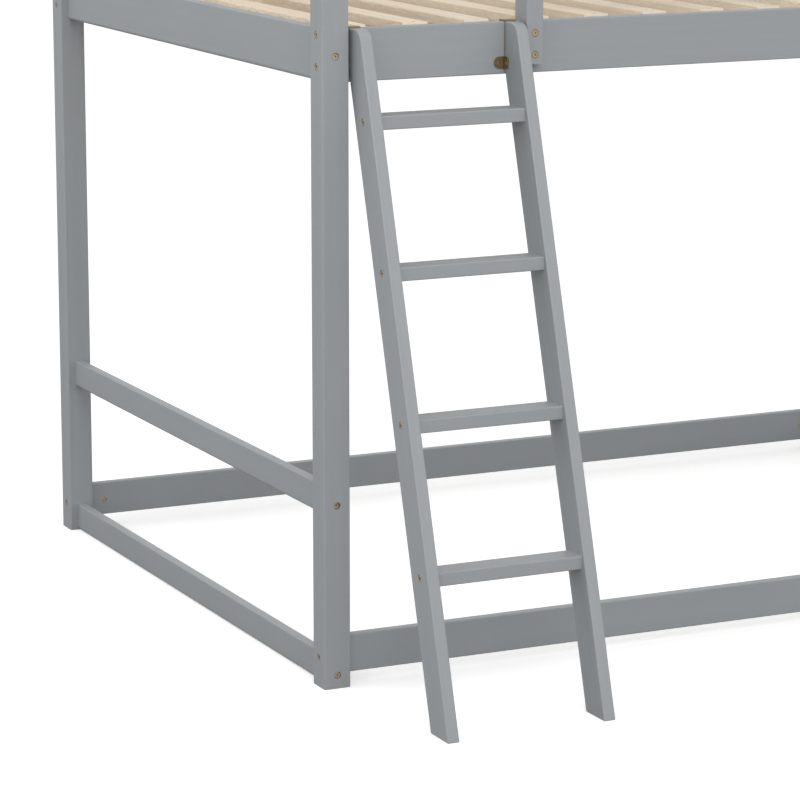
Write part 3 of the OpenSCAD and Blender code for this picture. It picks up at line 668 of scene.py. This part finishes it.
def make_slat_tree():
    """The slat deck: one rounded slat with its screw holes, repeated along the bed."""
    net, given, result = new_group("slat deck", "GeometryNodeTree", [
        ("Geometry", "NodeSocketGeometry", None), ("Material", "NodeSocketMaterial", None),
        ("Count", "NodeSocketInt", 15), ("Pitch", "NodeSocketFloat", 0.128),
        ("First", "NodeSocketVector", None), ("Width", "NodeSocketFloat", 0.052),
        ("Length", "NodeSocketFloat", 1.378), ("Thickness", "NodeSocketFloat", 0.02),
        ("Edge Radius", "NodeSocketFloat", 0.0025), ("Screw Inset", "NodeSocketFloat", 0.0075),
        ("Screw Head Radius", "NodeSocketFloat", SCREW_HEAD_RADIUS + 0.0003)],
        [("Geometry", "NodeSocketGeometry")])
    length, thick = given["Length"], given["Thickness"]
    section = net.add("GeometryNodeCurvePrimitiveQuadrilateral", {
        "Width": given["Width"], "Height": thick}).outputs["Curve"]
    rounded = net.add("GeometryNodeFilletCurve", {
        "Curve": section, "Radius": given["Edge Radius"], "Count": 4}, mode="POLY").outputs[0]
    far = net.add("ShaderNodeCombineXYZ", {"Y": length}).outputs[0]
    line = net.add("GeometryNodeCurvePrimitiveLine", {"Start": (0, 0, 0), "End": far}).outputs["Curve"]
    slat = net.add("GeometryNodeCurveToMesh", {
        "Curve": line, "Profile Curve": rounded, "Fill Caps": True}).outputs[0]
    holes = []
    for y in (given["Screw Inset"], net.math("SUBTRACT", length, given["Screw Inset"])):
        cone = net.add("GeometryNodeMeshCone", {
            "Vertices": 28, "Radius Top": given["Screw Head Radius"], "Radius Bottom": 0.0021,
            "Depth": 0.0022}, fill_type="NGON").outputs["Mesh"]
        top = net.math("SUBTRACT", net.math("MULTIPLY", thick, 0.5), 0.0021)
        at = net.add("ShaderNodeCombineXYZ", {"Y": y, "Z": top}).outputs[0]
        holes.append(net.add("GeometryNodeTransform", {"Geometry": cone, "Translation": at}).outputs[0])
    drilled = cut_shape(net, slat, holes)
    step = net.add("ShaderNodeCombineXYZ", {"X": given["Pitch"]}).outputs[0]
    row = net.add("GeometryNodeMeshLine", {
        "Count": given["Count"], "Start Location": given["First"], "Offset": step}).outputs["Mesh"]
    slats = net.add("GeometryNodeInstanceOnPoints", {"Points": row, "Instance": drilled}).outputs[0]
    real = net.add("GeometryNodeRealizeInstances", {"Geometry": slats}).outputs[0]
    dressed = net.add("GeometryNodeSetMaterial", {"Geometry": real, "Material": given["Material"]})
    net.put(result["Geometry"], dressed.outputs[0])
    return net.tree


# ---------------------------------------------------------------- slats and fasteners

first_low, first_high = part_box(SLATS[0])
slat_size = first_high - first_low
deck_start = bpy.data.objects.new("slat_start", bpy.data.meshes.new("slat_start"))
bpy.context.scene.collection.objects.link(deck_start)
slat_deck = grow(deck_start, make_slat_tree(), {
    "Material": pine_slat, "Count": len(SLATS), "Pitch": slat_step,
    "First": (first_low.x + slat_size.x / 2, first_low.y, first_low.z + slat_size.z / 2),
    "Width": slat_size.x, "Length": slat_size.y, "Thickness": slat_size.z}, "pine_slats")
settle(smooth(slat_deck), "bed", pine_slat, SLATS)

dice = random.Random(521)
middle = (cad_box[0] + cad_box[1]) / 2


def any_turn(centre, facing):
    """A random direction square to the facing one."""
    side = Vector((0, 0, 1)) if abs(facing.z) < 0.5 else Vector((1, 0, 0))
    turn = dice.uniform(0, 2 * math.pi)
    return side * math.cos(turn) + facing.cross(side) * math.sin(turn)


def toward_bolt(centre, facing):
    """Direction of the bolt that a barrel nut takes, level and square to the nut."""
    return Vector((facing.y, facing.x, 0))


def fasten(name, nodes, tree, body, finish, across_of=any_turn, inward=False, play=0.0):
    """All fasteners of one kind on one body, as one piece."""
    seats = [seat_of(points, middle if inward else None) for node in nodes for points in solids(node)]
    seats = [(centre + any_turn(centre, facing) * play, facing, reach) for centre, facing, reach in seats]
    made = grow(fastener_points(name + "_seats", seats, across_of), tree, {"Material": finish}, name)
    return settle(smooth(made), body, finish, nodes)


bolt_tree, nut_tree, screw_tree = make_bolt_tree(), make_nut_tree(), make_screw_tree()
fasten("bed_bolts", ["side_rail_bolts", "end_rail_bolts", "guard_bolts"], bolt_tree,
       "bed", brass, play=HEAD_PLAY)
fasten("ladder_bolts", ["rung_bolts"], bolt_tree, "ladder", brass, play=HEAD_PLAY)
fasten("bed_barrel_nuts", ["barrel_nuts"], nut_tree, "bed", brass, toward_bolt, True)
fasten("bed_screws", ["frame_screws", "slat_screws"], screw_tree, "bed", yellow_zinc)
fasten("hook_plate_screws", ["hook_screws"], screw_tree, "ladder", brass)

# ---------------------------------------------------------------- ladder stiles

rung_seats = [seat_of(points) for points in solids("rung_bolts")]


def drill(name, centre, facing, radius, depth):
    """Round cutter that opens a seat for a head."""
    shape = bmesh.new()
    turn = facing.to_track_quat("Z", "Y").to_matrix().to_4x4()
    turn.translation = centre - facing * (depth / 2 - 0.005)
    bmesh.ops.create_cone(shape, cap_ends=True, segments=36, radius1=radius, radius2=radius,
                          depth=depth + 0.01, matrix=turn)
    return new_object(name, shape)


def make_stile(node):
    """Leaning stile with a level foot, a rounded top corner and a plumb back against the rail."""
    low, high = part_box(node)
    lean_angle = math.degrees(math.atan(LEAN))
    plumb_from = (high.y - low.y - STILE_DEPTH) / LEAN
    front_top = low.y + LEAN * high.z
    reach = STILE_TOP_RADIUS * math.tan(math.radians(90 - lean_angle) / 2)
    centre = (front_top + reach, high.z - STILE_TOP_RADIUS)
    outline = [(low.y, 0), (low.y + STILE_DEPTH, 0), (high.y, plumb_from), (high.y, high.z)]
    outline += arc(centre, STILE_TOP_RADIUS, 90, 180 - lean_angle, 14)
    made = prism(node + "_rounded", outline, low.x, high.x, "x", bevel=EDGE_RADIUS, corner=12)
    holes = [drill("seat", centre, facing, HEAD_BORE, HEAD_HEIGHT)
             for centre, facing, _ in rung_seats if low.x - 0.001 < centre.x < high.x + 0.001]
    made = join_or_cut(made, holes, "DIFFERENCE")
    return settle(smooth(made), "ladder", paint_stile, [node])


make_stile("ladder_stile_left")
make_stile("ladder_stile_right")


# ---------------------------------------------------------------- ladder hooks

def bent_strip(points, thickness):
    """Outline of a plate that follows the points of its inner line and has round bends."""
    outer, inner = [], []
    for i, (y, z) in enumerate(points):
        before = Vector(points[i]) - Vector(points[i - 1]) if i else None
        after = Vector(points[i + 1]) - Vector(points[i]) if i + 1 < len(points) else None
        sides = [Vector((-d.y, d.x)).normalized() for d in (before, after) if d is not None]
        here = Vector((y, z))
        inner.append(tuple(here))
        if len(sides) == 1:
            outer.append(tuple(here + sides[0] * thickness))
        else:
            a, b = (math.atan2(s.y, s.x) for s in sides)
            if a - b > math.pi:
                b += 2 * math.pi
            if b - a > math.pi:
                b -= 2 * math.pi
            outer += arc((y, z), thickness, math.degrees(a), math.degrees(b), 5)
    return outer + inner[::-1]


def make_hook(node, stile, side):
    """Folded brass plate: strip, flange and lip over the rail, and two ears at its foot."""
    low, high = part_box(node)
    stile_low, stile_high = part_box(stile)
    back = stile_high.y
    inner = stile_high.x if side > 0 else stile_low.x
    top = high.z - HOOK_PLATE
    line = [(back + HOOK_PLATE, low.z), (back + HOOK_PLATE, top),
            (high.y - HOOK_PLATE, top), (high.y - HOOK_PLATE, high.z - HOOK_LIP)]
    plate = prism(node + "_plate", bent_strip(line, HOOK_PLATE), stile_low.x + HOOK_EDGE,
                  stile_high.x - HOOK_EDGE, "x", bevel=HOOK_EDGE, segments=2, corner=40)
    end, half = inner + side * (EAR_OUT - EAR_HEIGHT / 2), EAR_HEIGHT / 2
    mid = low.z + half
    start = inner - side * 0.004
    if side > 0:
        ear = [(start, low.z)] + arc((end, mid), half, -90, 90, 18) + [(start, low.z + EAR_HEIGHT)]
    else:
        ear = [(start, low.z + EAR_HEIGHT)] + arc((end, mid), half, 90, 270, 18) + [(start, low.z)]
    ear_plate = prism("ear", ear, back, back + HOOK_PLATE, "y", bevel=HOOK_EDGE, segments=2, corner=40)
    x0, x1 = sorted((inner, inner + side * HOOK_PLATE))
    front = back - EAR_ALONG_STILE
    tab = [(back + HOOK_PLATE * 0.6, low.z), (back + HOOK_PLATE * 0.6, low.z + EAR_HEIGHT)]
    tab += arc((front + EAR_CORNER, low.z + EAR_HEIGHT - EAR_CORNER), EAR_CORNER, 90, 180, 6)
    tab += arc((front + EAR_CORNER, low.z + EAR_CORNER), EAR_CORNER, 180, 270, 6)
    tab_plate = prism("tab", tab, x0, x1, "x", bevel=HOOK_EDGE, segments=2, corner=40)
    made = join_or_cut(plate, [ear_plate, tab_plate], "UNION")
    hole_at = Vector((inner + side * (EAR_OUT - EAR_HOLE_INSET), back, mid))
    holes = [drill("hole", hole_at, Vector((0, -1, 0)), EAR_HOLE_RADIUS, 0.01)]
    for points in solids("hook_screws"):
        centre, facing, _ = seat_of(points)
        if low.x - 0.001 < centre.x < high.x + 0.001:
            holes.append(drill("seat", centre, facing, SCREW_HEAD_RADIUS + 0.0002, SCREW_HEAD_HEIGHT))
    made = join_or_cut(made, holes, "DIFFERENCE")
    return settle(smooth(made), "ladder", bronzed, [node])


make_hook("ladder_hook_left", "ladder_stile_left", 1)
make_hook("ladder_hook_right", "ladder_stile_right", -1)

# ---------------------------------------------------------------- floor, light and camera

FLOOR_REACH = 40.0  # half the floor's side
FLOOR_LIFT = 0.36  # light that the floor adds for the eye, so that it stays white
FLOOR_BOUNCE = (0.34, 0.34, 0.34, 1)
SURROUND_LOW = 1.03
SURROUND_HIGH = 0.58
PANEL_SIZE = 2.5
FRONT_POWER = 80.0
LEFT_POWER = 49.0
CAMERA_LENS = 153.67
CAMERA_PLACE = (-3.5684, -6.2404, 1.8604)
CAMERA_DOWN = 11.70  # degrees below level
CAMERA_TURN = 25.39  # degrees to the right of straight at the bed's front

floor_mesh = bpy.data.meshes.new("floor")
corners = [(x * FLOOR_REACH, y * FLOOR_REACH, 0) for x, y in ((-1, -1), (1, -1), (1, 1), (-1, 1))]
floor_mesh.from_pydata(corners, [], [(0, 1, 2, 3)])
floor = bpy.data.objects.new("floor", floor_mesh)
bpy.context.scene.collection.objects.link(floor)


def make_pale_floor():
    """Matt near-white floor, a little brighter to the eye than to the light it throws back."""
    finish, net, shader, place = new_finish("pale floor", 0.9)
    seen = net.add("ShaderNodeLightPath").outputs["Is Camera Ray"]
    mottle = net.noise(place, 1.7, 3.0)
    bright = net.blend(mottle, (0.92, 0.92, 0.92, 1), (0.95, 0.95, 0.95, 1))
    net.put(shader.inputs["Base Color"], net.blend(seen, FLOOR_BOUNCE, bright))
    shader.inputs["Specular IOR Level"].default_value = 0.0
    shader.inputs["Emission Color"].default_value = (1, 1, 1, 1)
    net.put(shader.inputs["Emission Strength"], net.math("MULTIPLY", seen, FLOOR_LIFT))
    return finish


def make_surround():
    """White light from all round, a little weaker from above."""
    world = bpy.data.worlds.new("soft white surround")
    world.use_nodes = True
    net = Net(world.node_tree)
    world.node_tree.nodes.clear()
    seen = net.add("ShaderNodeLightPath").outputs["Is Camera Ray"]
    toward = net.add("ShaderNodeTexCoord").outputs["Generated"]
    climb = net.add("ShaderNodeSeparateXYZ", {"Vector": toward}).outputs["Z"]
    light = net.spread(climb, 0.0, 1.0, SURROUND_LOW, SURROUND_HIGH)
    strength = net.math("MAXIMUM", light, seen)
    glow = net.add("ShaderNodeBackground", {"Color": (1, 1, 1, 1), "Strength": strength})
    net.add("ShaderNodeOutputWorld", {"Surface": glow.outputs["Background"]})
    return world


floor_mesh.materials.append(make_pale_floor())
bpy.context.scene.world = make_surround()


def soft_panel(name, place, aim, size, power):
    """Large square light at a place, aimed at a point."""
    data = bpy.data.lights.new(name, "AREA")
    data.shape = "SQUARE"
    data.size = size
    data.energy = power
    made = bpy.data.objects.new(name, data)
    made.location = place
    made.rotation_euler = (Vector(aim) - Vector(place)).to_track_quat("-Z", "Y").to_euler()
    bpy.context.scene.collection.objects.link(made)
    return made


soft_panel("front panel", (-1.5, -4.5, 3.4), (-0.4, 0, 0.8), PANEL_SIZE, FRONT_POWER)
soft_panel("left panel", (-4.5, 0.5, 3.4), (-0.2, 0, 0.8), PANEL_SIZE, LEFT_POWER)

camera_data = bpy.data.cameras.new("camera")
camera_data.sensor_width = 36.0
camera_data.lens = CAMERA_LENS
camera_data.clip_end = 200.0
camera = bpy.data.objects.new("camera", camera_data)
camera.location = CAMERA_PLACE
camera.rotation_euler = (math.radians(90.0 - CAMERA_DOWN), 0, math.radians(-CAMERA_TURN))
bpy.context.scene.collection.objects.link(camera)
bpy.context.scene.camera = camera
bpy.context.scene.view_settings.view_transform = "Standard"
